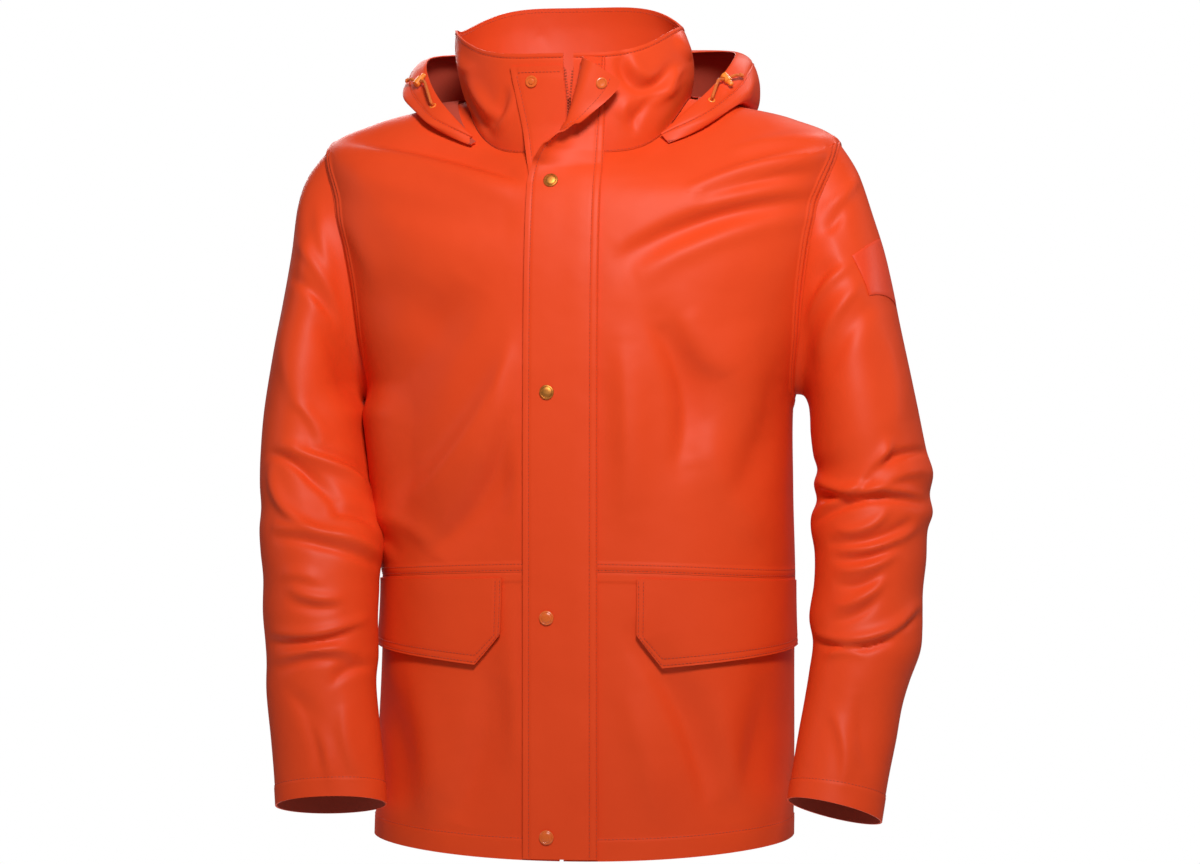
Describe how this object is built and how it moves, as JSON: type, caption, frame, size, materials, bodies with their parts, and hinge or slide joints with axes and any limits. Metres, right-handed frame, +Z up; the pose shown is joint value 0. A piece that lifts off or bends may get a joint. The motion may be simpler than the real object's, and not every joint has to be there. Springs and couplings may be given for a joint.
{
  "type": "raincoat",
  "caption": "Orange waterproof rain jacket, 0.85 m long, in its worn hollow form: stand collar, hood lying back, storm flap with snaps over a zip, cord locks, waist seam with pocket flaps.",
  "frame": {"origin": "the base of the neck, 740 mm above the front hem, on the middle of the body; the jacket is held up by what wears it", "axes": "+Z up along the standing wearer, -Y the front, +X the wearer's left"},
  "size_m": [0.668, 0.354, 0.846],
  "materials": {
    "coated_cloth": "satin polyurethane coating",
    "zip_tape": "woven, matte",
    "brass_snap": "antique, satin",
    "painted_snap": "enamelled, satin",
    "moulded_plastic": "moulded acetal",
    "cord": "braided, matte"
  },
  "bodies": {
    "root": {"front_right_lower": "coated_cloth", "front_right_upper": "coated_cloth", "front_left_lower": "coated_cloth", "front_left_upper": "coated_cloth", "back": "coated_cloth", "sleeve_right": "coated_cloth", "sleeve_left": "coated_cloth", "collar": "coated_cloth", "hood_casing": "coated_cloth", "hood": "coated_cloth", "under_placket": "coated_cloth", "storm_flap": "coated_cloth", "pocket_flap_right": "coated_cloth", "pocket_flap_left": "coated_cloth", "sleeve_patch": "coated_cloth", "zip_tape_right": "zip_tape", "zip_tape_left": "zip_tape", "flap_snap_1": "painted_snap", "flap_snap_2": "painted_snap", "flap_snap_3": "brass_snap", "flap_snap_4": "brass_snap", "collar_stud": "painted_snap", "collar_socket": "painted_snap", "eyelet_right": "moulded_plastic", "eyelet_left": "moulded_plastic", "cord_lock_right": "moulded_plastic", "cord_lock_left": "moulded_plastic", "hood_cord_right": "cord", "hood_cord_left": "cord", "cord_knot_right": "cord", "cord_knot_left": "cord"}
  },
  "joints": []
}
